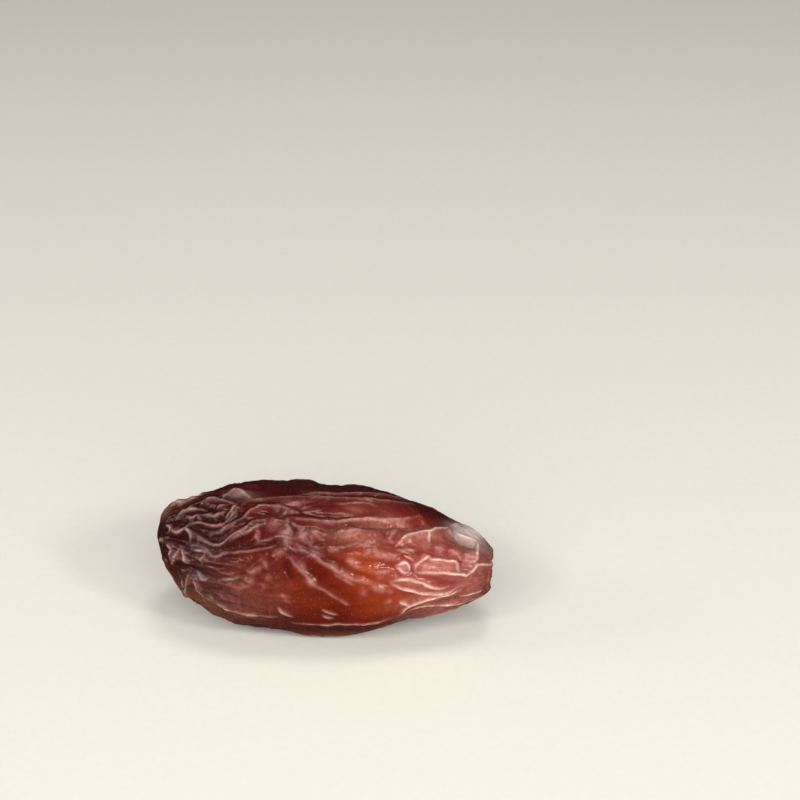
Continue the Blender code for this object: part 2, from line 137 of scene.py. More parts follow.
# The folds. As the flesh dried and shrank, the skin over it was left too large and stood up in
# crests and creases. Each is (height in mm, or depth if negative; spread in mm; lean; path).
LONG_FOLDS = (
    (0.55, 0.6, 0.4, ((8.5, 48), (10, 51), (11.2, 57), (12.9, 64), (14.8, 74), (18.2, 75), (20, 72))),
    (0.50, 0.5, 0.0, ((5, 58), (6.8, 59), (9, 55), (10.2, 57), (11, 64), (12.3, 76))),
    (0.55, 0.6, 0.3, ((5.5, 53), (7.1, 45), (9.8, 40), (11.4, 47), (13, 53), (14.2, 60), (16, 64))),
    (0.45, 0.6, -0.4, ((5, 38), (8, 37), (9.3, 31), (12, 36), (15.5, 39), (18, 45))),
    (-0.45, 0.7, 0.0, ((9.4, 36), (13.2, 40), (16.2, 44), (19, 47))),
    (0.35, 0.5, 0.0, ((14.8, 44), (16, 47), (18, 50), (20, 49), (22, 46), (24, 41))),
    (-0.22, 0.4, 0.0, ((19.5, 46), (22.2, 41), (24.4, 38), (26.8, 31), (29.5, 25), (31.1, 21))),
    (0.50, 0.7, 0.3, ((18.2, 44), (20.8, 41), (22.7, 37), (24.7, 31), (27.7, 21), (31.5, 14))),
    (0.45, 0.8, 0.3, ((19.1, 37), (20.4, 30), (22.2, 19), (23.2, 14), (24.6, 9), (27.6, -6))),
    (-0.40, 0.5, 0.0, ((19.2, 35), (19.2, 26), (19.7, 20), (20.5, 18))),
    (0.50, 0.9, 0.6, ((11.5, 66), (12.5, 78), (14.8, 84), (18.4, 88), (23.8, 93), (31, 98), (36, 114))),
    (-0.40, 0.5, 0.0, ((19.7, 71), (21.3, 72), (24.3, 72), (28.9, 73))),
    (0.45, 0.6, 0.0, ((18.6, 66), (22.8, 65), (24.7, 65), (28.5, 71), (31.2, 74), (34, 85), (36, 97))),
    (-0.45, 0.5, 0.0, ((20, 62), (24.3, 60), (27.5, 66), (30, 67), (32, 70), (34.3, 76), (37, 90))),
    (0.40, 0.8, 0.0, ((18.5, 91), (20.3, 96), (24, 100), (31.3, 107), (34.5, 113))),
)
MIDDLE_SWELLS = (
    (0.35, 0.9, 0.0, ((25.7, 58), (27.6, 61), (31.8, 60))),
    (0.45, 0.9, 0.0, ((29.4, 40), (29.8, 43), (31.9, 42), (34.6, 43))),
    (0.30, 0.8, 0.0, ((27.2, 35), (28.4, 32), (31.1, 28), (32.9, 26))),
    (0.30, 0.9, 0.0, ((30.2, 15), (32.4, 9), (34.1, 2))),
    (-0.30, 0.4, 0.0, ((11.7, 13), (13.2, 17), (14.3, 25), (15.2, 29), (16, 30))),
    (0.35, 0.6, 0.0, ((13.6, 15), (14.3, 20), (15, 24), (15.8, 23), (16.2, 20))),
    (-0.20, 0.4, 0.0, ((15.7, 29), (16.7, 21), (17.4, 19), (17.9, 21))),
    (0.35, 0.5, 0.0, ((14.1, 0), (15.9, 7), (16.6, 14), (15.9, 22))),
    (0.30, 0.7, 0.0, ((16.6, 19), (17.4, 13), (18.8, 11), (20.7, 12))),
    (0.25, 0.8, 0.0, ((33.2, 70), (32.7, 59), (32.4, 55))),
)
STEM_END_FOLDS = (
    (0.50, 0.6, 0.4, ((33.3, 51), (34.4, 61), (36.3, 71), (37.6, 78), (38.5, 86), (40, 100))),
    (0.30, 0.4, 0.0, ((37.4, 76), (37.6, 69), (37.6, 63))),
    (0.40, 0.4, 0.0, ((36.2, 27), (36.1, 32), (36.4, 36), (37.7, 44), (38.2, 41), (41.2, 42), (41.8, 27))),
    (0.45, 0.4, 0.3, ((36.2, 26), (41.8, 26), (42.6, 24), (43.6, 34), (44.1, 41), (45.2, 46), (45.8, 61))),
    (0.50, 0.5, 0.3, ((33, 17), (34.6, 19), (36.8, 15), (37.7, 10), (39.4, 5), (40.4, 6))),
    (0.45, 0.4, -0.3, ((33.1, 16), (34.6, 9), (36.5, 1), (38.2, -3), (40.1, -4), (42, 5))),
    (0.55, 0.5, 0.4, ((34.1, -30), (34.8, -20), (36.1, -14), (38, -10), (40.6, -7), (42.2, -2))),
    (0.40, 0.5, 0.0, ((34.8, -27), (37.4, -23), (39.7, -29), (42.1, -34), (43.9, -36), (45.4, -49))),
    (0.30, 0.5, 0.0, ((42.2, -16), (44.2, -16), (45.1, -17))),
    (-0.40, 0.5, 0.0, ((40.5, 98), (41.5, 80), (43.3, 74), (43.9, 69))),
    (0.40, 0.5, 0.0, ((41, 99), (41.6, 90), (42.7, 88), (44, 95))),
    (0.40, 0.6, 0.0, ((40.2, 106), (41.3, 123), (42.4, 124), (44.6, 115))),
    (0.40, 0.5, 0.0, ((44, 92), (43.9, 73), (43.9, 44))),
    (0.40, 0.4, 0.0, ((33.6, 33), (34, 35), (34.8, 37), (35.2, 33), (35.4, 26))),
    (0.35, 0.4, 0.0, ((33.6, 32), (34, 30), (34.5, 26), (35.4, 25))),
    (0.35, 0.5, 0.0, ((34.2, -7), (35.3, -17))),
)
TIP_FOLDS = (
    (0.54, 0.70, 0.0, ((2.5, 66), (4, 76), (6, 77), (7.4, 74))),
    (0.61, 0.88, 0.3, ((2.3, 71), (4.6, 83), (6.2, 89), (9.5, 82), (11.6, 77))),
    (0.47, 0.70, 0.0, ((4.3, 66), (4.9, 68), (5.7, 66), (6.3, 69), (7, 61))),
    (0.47, 0.70, 0.0, ((6.5, 69), (8, 67), (8.6, 66), (10, 70))),
    (0.54, 0.70, 0.0, ((8.6, 74), (9.3, 75), (10.1, 77))),
    (0.61, 0.70, 0.0, ((10.3, 64), (10.8, 68), (11.7, 75))),
    (0.35, 0.60, 0.0, ((9, 86), (10.1, 95), (11.3, 95), (13.5, 82))),
    (0.47, 0.95, 0.0, ((1, 104), (3.5, 101), (5.2, 109), (6.5, 121))),
    (0.47, 0.70, 0.0, ((2.7, 47), (4, 49), (5.2, 58))),
    (0.61, 0.70, 0.0, ((5.2, 58), (4.9, 54), (5.5, 51), (5.9, 47), (5.5, 40))),
    (0.47, 0.70, 0.0, ((1.5, 61), (2.6, 51), (2, 43))),
    (0.47, 0.70, 0.0, ((0.7, 27), (1.7, 32), (1.5, 23))),
    (0.61, 0.70, 0.0, ((2.1, 29), (2.9, 26), (3.4, 22), (3.3, 13), (2.7, -1))),
    (0.41, 0.70, 0.0, ((1.6, -12), (2.1, -6), (2.1, -19))),
    (0.65, 0.88, 0.0, ((4.6, 32), (4.1, 21), (3.4, 6), (3, -7))),
    (0.54, 0.70, 0.0, ((4.7, 32), (5.6, 20), (5.9, 17))),
    (0.54, 0.70, 0.0, ((6.2, 33), (7.7, 34), (8.7, 32))),
    (0.54, 0.70, 0.0, ((8.2, 32), (8, 29), (7.6, 22))),
    (-0.40, 0.60, 0.0, ((2.9, -2), (5, 11), (8.2, 11), (10.8, 10))),
    (0.47, 0.95, 0.0, ((3.6, -9), (4.4, -19), (4.9, -40))),
    (0.61, 0.88, 0.0, ((5.7, 5), (5.6, -3), (5.2, -14), (4.9, -25))),
    (0.54, 0.88, 0.0, ((6.7, 4), (7.2, -11), (7.4, -24))),
)
LOW_FOLDS = (
    (0.45, 0.5, 0.0, ((18.1, -10), (18.6, -14), (20, -20))),
    (-0.35, 0.7, 0.0, ((8.4, -5), (10.4, -2), (12, -5), (14.7, -16))),
    (0.35, 0.7, 0.4, ((7.9, -18), (10.5, -19), (14.7, -22), (17.8, -23))),
    (-0.15, 0.7, 0.0, ((23.7, -7), (29.6, -8), (33.6, -10))),
    (0.30, 0.4, 0.0, ((24, -11), (26, -16))),
    (0.30, 0.4, 0.0, ((24, -17), (25.4, -20))),
    (0.30, 0.7, 0.0, ((19.7, -30), (26.7, -26), (33.4, -31))),
)
FINE_FOLDS = (
    (0.30, 0.35, 0.0, ((11.4, 45), (12.9, 50), (14, 53), (14.8, 58), (16, 60))),
    (-0.25, 0.35, 0.0, ((18.2, 44), (19.4, 42), (20.3, 39))),
    (0.20, 0.35, 0.0, ((24.6, 86), (28.3, 90), (30, 89))),
    (0.20, 0.35, 0.0, ((25.7, 24), (26.7, 20), (28.3, 15))),
    (0.25, 0.30, 0.0, ((33.4, 47), (35.2, 49), (36.1, 50))),
    (-0.15, 0.35, 0.0, ((8.9, 29), (13, 32))),
    (-0.15, 0.35, 0.0, ((9.6, 24), (13, 28))),
    (-0.18, 0.35, 0.0, ((8.9, 18), (10.3, 22), (13.1, 25))),
    (0.30, 0.40, 0.0, ((10.3, 11), (11.4, 13), (13.1, 17))),
    (0.25, 0.30, 0.0, ((6.5, 10), (8, 8), (8.7, 9))),
    (0.25, 0.30, 0.0, ((9.5, 60), (9.8, 58), (10.1, 57))),
    (0.30, 0.35, 0.0, ((1.7, 101), (2, 112), (2.5, 115))),
    (0.30, 0.35, 0.0, ((3, 97), (4.5, 103), (5.3, 103))),
    (0.30, 0.40, 0.0, ((8.1, -14), (10, -17), (10.9, -17))),
    (-0.25, 0.40, 0.0, ((7.8, -9), (8.7, -14), (10.6, -21))),
)
# The folds of the far side and the underside follow a rule: rows of crests end to end, with
# creases between them.
RULE_SEED = 11
RULE_FIRST_DEGREES = 132.0
RULE_LAST_DEGREES = 312.0
RULE_ROWS = 18
RULE_START = 2.5
RULE_END = 43.0
RULE_LENGTHS = (5.0, 15.0)
RULE_GAPS = (0.3, 1.8)
RULE_HEIGHTS = (0.3, 0.6)
RULE_SPREADS = (0.5, 1.0)
RULE_CREASE_EVERY = 4
RULE_STEP = 2.4
RULE_WANDER_DEGREES = 3.2
# A crest is rounded over this share of its spread, has a trough at its foot, and runs out at its
# ends. Folds that meet are joined as a norm of the join power.
CREST_ROUNDING = 0.12
TROUGH_WIDTH = 2.4
TROUGH = 0.18
END_FADE = 0.6
FOLD_REACH = 5.0
JOIN_POWER = 3.0
FOLD_GAIN = 1.35
# The half width of the painted glint: a thin pale line of highlight along a sharp crest.
GLINT_HALF_WIDTH = 0.15
# A fold's line strays this far to the side, in bends this long. The seed fixes the direction of
# every stray.
STRAY = 0.2
STRAY_LENGTH = 1.6
NOISE_SEED = 3


def smooth_path(path, points_a_span=6):
    """The points of a fold's path on the bare skin, with its corners rounded."""
    knots = np.array(path, float)
    padded = np.vstack([2 * knots[0] - knots[1], knots, 2 * knots[-1] - knots[-2]])
    t = np.linspace(0, 1, points_a_span, endpoint=False)[:, None]
    spans = []
    for a, b, c, d in zip(padded, padded[1:], padded[2:], padded[3:]):
        bend = 2 * a - 5 * b + 4 * c - d + t * (3 * (b - c) + d - a)
        spans.append(b + 0.5 * t * (c - a + t * bend))
    run = np.vstack([*spans, knots[-1:]])
    return bare_fruit(np.clip(run[:, 0] / LENGTH, 0.001, 0.999), np.radians(run[:, 1]))


def place_on_path(line, points, outward):
    """Each point's distance from the line, its distance to the side, and its share of the run."""
    spans = np.diff(line, axis=0)
    lengths = np.linalg.norm(spans, axis=1)
    begins = np.concatenate([[0], np.cumsum(lengths)])
    nearest = ((line**2).sum(1) - 2 * points @ line.T).argmin(1)
    away = np.full(len(points), np.inf)
    side, run = np.zeros(len(points)), np.zeros(len(points))
    for step in (-1, 0):
        span = np.clip(nearest + step, 0, len(spans) - 1)
        along = spans[span]
        t = np.clip(((points - line[span]) * along).sum(1) / lengths[span] ** 2, 0, 1)
        offset = points - line[span] - t[:, None] * along
        distance = np.linalg.norm(offset, axis=1)
        closer = distance < away
        across = (np.cross(along, outward) * offset).sum(1) / lengths[span]
        away = np.where(closer, distance, away)
        side = np.where(closer, across, side)
        run = np.where(closer, (begins[span] + t * lengths[span]) / begins[-1], run)
    return away, side, run


def fold_height(fold, points, outward):
    """One fold's height over each point that it reaches, the painted glint along its crest, and the
    points' rows.
    """
    height, spread, lean, path = fold
    line = smooth_path(path)
    reach = FOLD_REACH * spread
    inside = (points > line.min(0) - reach) & (points < line.max(0) + reach)
    rows = np.flatnonzero(inside.all(1))
    away, side, run = place_on_path(line, points[rows], outward[rows])
    wide = spread * (1 + lean * np.tanh(side / spread))
    fade = np.sin(np.pi * np.clip(run, 0.02, 0.98)) ** END_FADE
    round_top = CREST_ROUNDING * wide
    peak = np.exp(-(np.hypot(away, round_top) - round_top) / wide)
    trough = TROUGH * np.exp(-((away / (TROUGH_WIDTH * wide)) ** 2))
    crest_glint = fade * np.exp(-((away / GLINT_HALF_WIDTH) ** 2))
    return abs(height) * fade * (peak - trough), crest_glint, rows


def folds_by_rule():
    """Lengthwise folds, end to end in rows round the far side and the underside."""
    draw = random.Random(RULE_SEED)
    folds = []
    for row_degrees in np.linspace(RULE_FIRST_DEGREES, RULE_LAST_DEGREES, RULE_ROWS):
        at = RULE_START + draw.uniform(0, 3)
        while at < RULE_END - RULE_STEP:
            end = min(at + draw.uniform(*RULE_LENGTHS), RULE_END)
            degrees = row_degrees + draw.uniform(-1, 1) * RULE_WANDER_DEGREES
            path = []
            while at < end or len(path) < 2:
                path.append((at, degrees))
                at += RULE_STEP
                degrees += draw.uniform(-1, 1) * RULE_WANDER_DEGREES
            height = draw.uniform(*RULE_HEIGHTS)
            if len(folds) % RULE_CREASE_EVERY == 0:
                height = -height
            spread = draw.uniform(*RULE_SPREADS)
            folds.append((height, spread, draw.uniform(-0.5, 0.5), path))
            at += draw.uniform(*RULE_GAPS)
    return folds


# Each group of folds, and how strong the painted glint along its crests is.
fold_groups = (
    (LONG_FOLDS, 0.22),
    (MIDDLE_SWELLS, 0.0),
    (STEM_END_FOLDS, 0.9),
    (TIP_FOLDS, 0.4),
    (LOW_FOLDS, 0.55),
    (FINE_FOLDS, 0.35),
    (folds_by_rule(), 0.25),
)
noise.seed_set(NOISE_SEED)
strayed = np.array([noise.noise_vector(place / STRAY_LENGTH) for place in bare_points])
strayed = bare_points + STRAY * strayed
crests, creases = np.zeros(len(share)), np.zeros(len(share))
painted_glints = np.zeros(len(share))
for folds, glint_strength in fold_groups:
    for fold in folds:
        height, crest_glint, reached = fold_height(fold, strayed, outward)
        joined = crests if fold[0] > 0 else creases
        joined[reached] += np.sign(height) * np.abs(height) ** JOIN_POWER
        if fold[0] > 0:
            painted_glints[reached] = np.maximum(painted_glints[reached], glint_strength * crest_glint)
crests = np.sign(crests) * np.abs(crests) ** (1 / JOIN_POWER)
creases = np.sign(creases) * np.abs(creases) ** (1 / JOIN_POWER)
fold_relief = FOLD_GAIN * (crests - creases)

# The blisters: places where the skin has come off the flesh and puffed up, with air under it, so
# that it looks paler, partly as a painted highlight in the colour.
# Each is (mm, degrees; half length, half width; turn in degrees; height).
BLISTERS = (
    (18.5, 54, 0.7, 0.5, 10, 0.20),
    (19.2, 47, 0.8, 0.4, -10, 0.12),
    (15, 50, 0.8, 0.3, -80, 0.15),
    (16.9, 59, 0.7, 0.7, 0, 0.15),
    (22.6, 56, 0.9, 0.8, 0, 0.15),
    (22.2, 51, 0.7, 0.3, -75, 0.15),
    (21, 52, 0.8, 0.7, 0, 0.12),
    (23, 39, 0.8, 0.4, -15, 0.20),
    (20.7, 44, 0.9, 0.4, -25, 0.10),
    (18.2, 38, 0.7, 0.5, 0, 0.15),
    (16.4, 28, 0.6, 0.3, -70, 0.18),
    (16.9, 18, 0.4, 0.3, -45, 0.12),
    (14.9, 22, 0.7, 0.4, 20, 0.15),
    (14.4, 14, 0.9, 0.5, -90, 0.10),
    (13.5, 8, 0.7, 0.4, 0, 0.12),
    (18.7, 2, 0.7, 0.4, -15, 0.15),
    (19.2, -3, 0.5, 0.3, -35, 0.12),
    (12.5, 5, 0.7, 0.6, 0, 0.10),
    (21.1, 29, 0.8, 0.6, -50, 0.12),
    (22.4, 17, 0.7, 0.5, -45, 0.18),
    (18.9, 81, 1.7, 0.6, 0, 0.10),
    (21.9, 101, 1.7, 0.8, 0, 0.15),
    (11.3, 92, 1.8, 0.9, -10, 0.05),
    (26, 58, 0.4, 0.4, 0, 0.20),
    (27.3, 56, 1.6, 0.7, -5, 0.15),
    (25.3, 43, 0.8, 0.3, -15, 0.15),
    (29.8, 43, 0.6, 0.4, 20, 0.20),
    (31.9, 41, 1.8, 0.5, -5, 0.20),
    (27.9, 34, 0.7, 0.5, -40, 0.22),
    (28.5, 31, 0.5, 0.3, -30, 0.15),
    (32.1, 27, 0.9, 0.3, 10, 0.22),
    (31.6, 22, 0.4, 0.3, 0, 0.12),
    (31.4, 11, 0.9, 0.5, -25, 0.20),
    (29.5, 8, 0.7, 0.5, -90, 0.12),
    (32.8, -5, 0.4, 0.4, 40, 0.18),
    (34.7, -11, 0.6, 0.5, -10, 0.15),
    (27, -3, 0.6, 0.2, -35, 0.15),
    (25.5, 30, 0.6, 0.4, -30, 0.18),
    (27.2, 23, 0.8, 0.5, -45, 0.18),
    (29, 20, 0.7, 0.4, -20, 0.15),
    (27.2, 83, 1.6, 0.6, -5, 0.10),
    (32.2, 76, 1.9, 0.5, 5, 0.15),
    (32.8, 65, 0.8, 0.3, 70, 0.15),
    (39.2, 57, 0.7, 0.6, 50, 0.26),
    (41.1, 56, 0.7, 0.5, -10, 0.28),
    (43.1, 54, 0.8, 0.6, 20, 0.28),
    (43, 41, 0.6, 0.4, 0, 0.12),
    (40.3, 91, 0.7, 0.4, -60, 0.20),
    (37.4, 58, 0.7, 0.7, 0, 0.12),
    (38.9, 32, 2.5, 0.6, 0, 0.12),
    (40.8, 19, 1.1, 0.3, 0, 0.10),
    (36.3, 67, 1.4, 0.5, 12, 0.10),
    (44.4, 83, 1.5, 0.9, -90, 0.10),
)
BLISTER_SEED = 5
BLISTER_COUNT = 90
TALLEST_BLISTER = 0.22
BLISTER_RADIUS = 10.0


def blisters_by_rule():
    """Blisters at random places on the far side and the underside."""
    draw = random.Random(BLISTER_SEED)
    blisters = []
    for _ in range(BLISTER_COUNT):
        at = draw.uniform(6, 43)
        degrees = draw.uniform(RULE_FIRST_DEGREES, RULE_LAST_DEGREES)
        half_length = draw.uniform(0.4, 1.6)
        half_width = draw.uniform(0.3, 0.7)
        turn = draw.uniform(-45, 45)
        blisters.append((at, degrees, half_length, half_width, turn, draw.uniform(0.08, 0.2)))
    return blisters


def blister_shape(at, degrees, half_length, half_width, turn, edge=2.0):
    """1 in the middle of an oval patch of skin, falling to 0 past its edge."""
    lengthwise = share * LENGTH - at
    off = (angle - math.radians(degrees) + math.pi) % (2 * math.pi) - math.pi
    crosswise = off * BLISTER_RADIUS * girth_at(share)
    cos, sin = math.cos(math.radians(turn)), math.sin(math.radians(turn))
    along = (lengthwise * cos + crosswise * sin) / half_length
    across = (crosswise * cos - lengthwise * sin) / half_width
    return np.exp(-(np.hypot(along, across) ** edge))


blister_relief, blister_pallor_and_highlight = np.zeros(len(share)), np.zeros(len(share))
for *oval, height in list(BLISTERS) + blisters_by_rule():
    shape = blister_shape(*oval)
    blister_relief = np.maximum(blister_relief, height * shape)
    blister_pallor_and_highlight = np.maximum(blister_pallor_and_highlight, height / TALLEST_BLISTER * shape)

# The small wrinkles between the folds, which run lengthwise and are finest at the tip. Each
# layer is (length, width and height in mm, width of a crest as a share of the layer's range).
WRINKLE_LAYERS = ((11.0, 3.6, 0.5, 0.22), (6.0, 1.7, 0.18, 0.25))
WRINKLE_STATIONS = (0.0, 0.05, 0.15, 0.28, 0.4, 0.7, 0.85, 0.95, 1.0)
WRINKLE_SHARES = (0.5, 1.2, 1.2, 0.8, 0.55, 0.5, 0.4, 0.25, 0.0)
FINE_LAYERS = ((3.2, 1.0, 0.12, 0.25), (1.7, 0.6, 0.06, 0.3))
FINE_STATIONS = (0.0, 0.1, 0.22, 0.33, 0.5, 0.7, 0.85, 1.0)
FINE_SHARES = (0.8, 1.3, 1.2, 0.7, 0.5, 0.4, 0.5, 0.4)
WRINKLE_DRIFT = 0.45
DRIFT_PATCH = (12.0, 9.0)
SWELL_HEIGHT = 0.45
SWELL_PATCH = (13.0, 7.0)
# The full front of the fruit is stretched smoother than the rest: its middle and half size.
SMOOTH_FRONT = (27.0, 5.0, 11.0, 7.0, 0.0)
FRONT_SMOOTHING = 0.6
# The folds of the tip's front leave little room for crumples, and the back is smooth at its top.
FOLDED_TIP = (5.0, 45.0, 8.0, 8.0, 0.0)
FOLDED_TIP_SMOOTHING = 0.7
FOLDED_TIP_EDGE = 4.0
SMOOTH_BACK = (22.0, 112.0, 18.0, 4.0, 0.0)
BACK_SMOOTHING = 0.6
# Round the tip the skin is crumpled like thin foil: facets this long, wide and tall in mm, and
# how far they stray. A ridge reaches this far into its facets. Everywhere the skin is faintly
# pebbled, with rounded pebbles.
CRUMPLE_LAYERS = ((4.2, 2.2, 0.42, 0.5), (1.9, 1.1, 0.08, 0.5))
CRUMPLE_STATIONS = (0.0, 0.04, 0.12, 0.2, 0.3, 0.4, 1.0)
CRUMPLE_SHARES = (0.2, 1.0, 1.1, 0.9, 0.4, 0.06, 0.06)
CRUMPLE_LEVEL = 0.4
RIDGE_REACH = 0.55
PEBBLE_HEIGHT = 0.08
PEBBLE_SIZE = (1.7, 0.9)
PEBBLE_STRAY = 0.6
PEBBLE_ROUNDING = 0.5
# Each field of random numbers is read in a layer of its own, far from the others.
DRIFT_LAYER = 9
SWELL_LAYER = 5
FINE_LAYER = 20
CRUMPLE_LAYER_STEP = 17
PEBBLE_LAYER = 40
TIP_EDGE_LAYER = 31


def patches(share, angle, long, wide, layer):
    """Smooth random numbers from -1 to 1 over the skin, in patches this long and wide in mm."""
    radius = HALF_WIDTH / wide
    places = np.stack(
        [
            share * LENGTH / long + 7.3 * layer,
            radius * np.cos(angle) + 3.1 * layer,
            radius * np.sin(angle),
        ],
        axis=-1,
    )
    return np.array([noise.noise(place) for place in places])


def wrinkled(layers, bent, first_layer=0):
    """The height of these layers of wrinkles at each point."""
    height = np.zeros(len(share))
    for layer, (long, wide, tall, crest) in enumerate(layers, first_layer):
        field = patches(share, bent, long, wide, layer)
        height += tall * (np.exp(-np.abs(field) / crest) - 0.5)
    return height


def crumpled(bent, long, wide, warp, layer):
    """Heights from 0 to 1 of thin skin crumpled into hollow facets with sharp ridges between."""
    radius = HALF_WIDTH / wide
    heights = []
    for at, round_at in zip(share * LENGTH / long, bent):
        place = Vector((at, radius * math.cos(round_at), radius * math.sin(round_at)))
        place += warp * noise.noise_vector(place + Vector((layer, 0, 0)))
        nearest, second = noise.voronoi(place)[0][:2]
        heights.append(1 - min((second - nearest) / RIDGE_REACH, 1))
    return np.array(heights)


bent = angle + WRINKLE_DRIFT * patches(share, angle, *DRIFT_PATCH, DRIFT_LAYER)
wrinkle_relief = wrinkled(WRINKLE_LAYERS, bent) * eased(share, WRINKLE_STATIONS, WRINKLE_SHARES)
fine_relief = wrinkled(FINE_LAYERS, bent, FINE_LAYER)
wrinkle_relief += fine_relief * eased(share, FINE_STATIONS, FINE_SHARES)
wrinkle_relief *= 1 - FRONT_SMOOTHING * blister_shape(*SMOOTH_FRONT)
wrinkle_relief *= 1 - BACK_SMOOTHING * blister_shape(*SMOOTH_BACK)
crumple_relief = np.zeros(len(share))
for layer, (long, wide, tall, warp) in enumerate(CRUMPLE_LAYERS):
    facets = crumpled(bent, long, wide, warp, CRUMPLE_LAYER_STEP * layer)
    crumple_relief += tall * (facets - CRUMPLE_LEVEL)
crumple_relief *= eased(share, CRUMPLE_STATIONS, CRUMPLE_SHARES)
crumple_relief *= 1 - FOLDED_TIP_SMOOTHING * blister_shape(*FOLDED_TIP, edge=FOLDED_TIP_EDGE)
pebbles = 1 - crumpled(bent, *PEBBLE_SIZE, PEBBLE_STRAY, PEBBLE_LAYER)
pebble_relief = PEBBLE_HEIGHT * pebbles**PEBBLE_ROUNDING
swell_relief = SWELL_HEIGHT * patches(share, angle, *SWELL_PATCH, SWELL_LAYER)

# Three full places of the fruit's form: low on its front, where it sags over its resting spot,
# high on its back, and over its tip.
BULGES = (
    (21.0, -55, 9.0, 3.6, 0, 0.60),
    (32.0, 113, 6.0, 3.6, 0, 0.85),
    (1.6, 112, 1.6, 2.4, 0, 0.60),
)
bulge_relief = np.zeros(len(share))
for *oval, height in BULGES:
    bulge_relief += height * blister_shape(*oval)

# The scar at the blunt end, where the stem and its cap came off: a shallow dry dish inside a
# raised ring.
SCAR_RADIUS = 2.1
SCAR_DEPTH = 0.5
SCAR_RING = 0.3
SCAR_RING_RADIUS = 1.25 * SCAR_RADIUS
SCAR_RING_WIDTH = 0.5

end_middle = bare_fruit(np.array([1.0]), np.array([0.0]))[0]
off_axis = np.hypot(bare_points[:, 1] - end_middle[1], bare_points[:, 2] - end_middle[2])
off_axis = np.where(bare_points[:, 0] > 0, off_axis, LENGTH)
scar_dish = np.exp(-((off_axis / SCAR_RADIUS) ** 4))
scar_ring = np.exp(-(((off_axis - SCAR_RING_RADIUS) / SCAR_RING_WIDTH) ** 2))
scar_relief = SCAR_RING * scar_ring - SCAR_DEPTH * scar_dish

# The finished skin: one sheet over the whole fruit. Its relief is pressed out round the flat spot
# that it rests on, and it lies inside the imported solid's box.
SPOT_FLATTENING = 0.85
SPOT_X = -1.5
SPOT_HALF_LENGTH = 8.0
SPOT_HALF_WIDTH = 5.0
KNOB_LENGTH = 0.7
BOX_CLEARANCE = 0.01 * MM
SKIN_SHRINK = 0.1

spot = np.exp(
    -(((bare_points[:, 0] - SPOT_X) / SPOT_HALF_LENGTH) ** 2)
    - (bare_points[:, 1] / SPOT_HALF_WIDTH) ** 2
)
relief_kept = 1 - SPOT_FLATTENING * np.where(bare_points[:, 2] < HALF_HEIGHT, spot, 0)
relief_kept *= 1 - np.exp(-((share * LENGTH / KNOB_LENGTH) ** 2))
relief = fold_relief + blister_relief + wrinkle_relief + swell_relief + scar_relief
relief += crumple_relief + pebble_relief - SKIN_SHRINK
skin_points = bare_points + outward * (relief_kept * relief + bulge_relief)[:, None]
skin_points[:, 2] = np.maximum(skin_points[:, 2], 0)
skin_points *= MM
box_low, box_high = (np.array(corner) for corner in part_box("date"))
lowest, highest = skin_points.min(0), skin_points.max(0)
skin_points[:, :2] -= ((lowest + highest) / 2)[:2]
fit = min(((box_high - box_low - 2 * BOX_CLEARANCE) / (highest - lowest)).min(), 1.0)
skin_points *= fit
skin_points[:, :2] += ((box_low + box_high) / 2)[:2]
print("fitted to the packed solid by", round(fit, 4))

grid = np.arange(ROWS * COLUMNS).reshape(ROWS, COLUMNS)
tip_point, end_point = ROWS * COLUMNS, ROWS * COLUMNS + 1
faces = []
corner_places = []
for row in range(ROWS + 1):
    for column in range(COLUMNS):
        beside = (column + 1) % COLUMNS
        left, right = column / COLUMNS, (column + 1) / COLUMNS
        before, after = row / (ROWS + 1), (row + 1) / (ROWS + 1)
        if row == 0:
            faces.append((tip_point, grid[0, column], grid[0, beside]))
            corner_places += [((left + right) / 2, 0), (left, after), (right, after)]
        elif row == ROWS:
            faces.append((grid[-1, column], end_point, grid[-1, beside]))
            corner_places += [(left, before), ((left + right) / 2, 1), (right, before)]
        else:
            faces.append(
                (grid[row - 1, column], grid[row, column], grid[row, beside], grid[row - 1, beside])
            )
            corner_places += [(left, before), (left, after), (right, after), (right, before)]

skin_mesh = bpy.data.meshes.new("wrinkled skin")
skin_mesh.from_pydata(skin_points.tolist(), [], faces)
skin_mesh.uv_layers.new(name="OFBake").data.foreach_set("uv", np.ravel(corner_places))
skin_mesh.shade_smooth()
skin = bpy.data.objects.new("wrinkled_skin", skin_mesh)
bpy.context.scene.collection.objects.link(skin)


# What the skin's colours follow. Each is a number from 0 to 1 at every point of the mesh.
def blurred(field, passes):
    """A number at every point of the grid, smoothed over its neighbours this many times."""
    field = field[:-2].reshape(ROWS, COLUMNS)
    for _ in range(passes):
        field = field / 2 + (np.roll(field, 1, 1) + np.roll(field, -1, 1)) / 4
        padded = np.vstack([field[:1], field, field[-1:]])
        field = field / 2 + (padded[:-2] + padded[2:]) / 4
    return np.concatenate([field.ravel(), [field[0].mean(), field[-1].mean()]])


def between(low, high, values):
    """0 up to low, 1 from high, and a smooth rise from one to the other."""
    t = np.clip((values - low) / (high - low), 0, 1)
    return t * t * (3 - 2 * t)


def patch_of(ovals):
    """The strongest of some oval patches, each given as a blister is, with its strength last."""
    shown = np.zeros(len(share))
    for *oval, strength in ovals:
        shown = np.maximum(shown, strength * blister_shape(*oval))
    return shown


# The relief is compared with itself smoothed a little and smoothed a lot. The tip is darkest up
# to the first place, in mm, and no darker than the rest from the second, with a wavy edge.
NARROW_PASSES = 30
BROAD_PASSES = 300
DARK_TIP_MM = (6.0, 15.0)
DARK_TIP_WAVE = 3.0
DARK_TIP_PATCH = (6.0, 5.0)

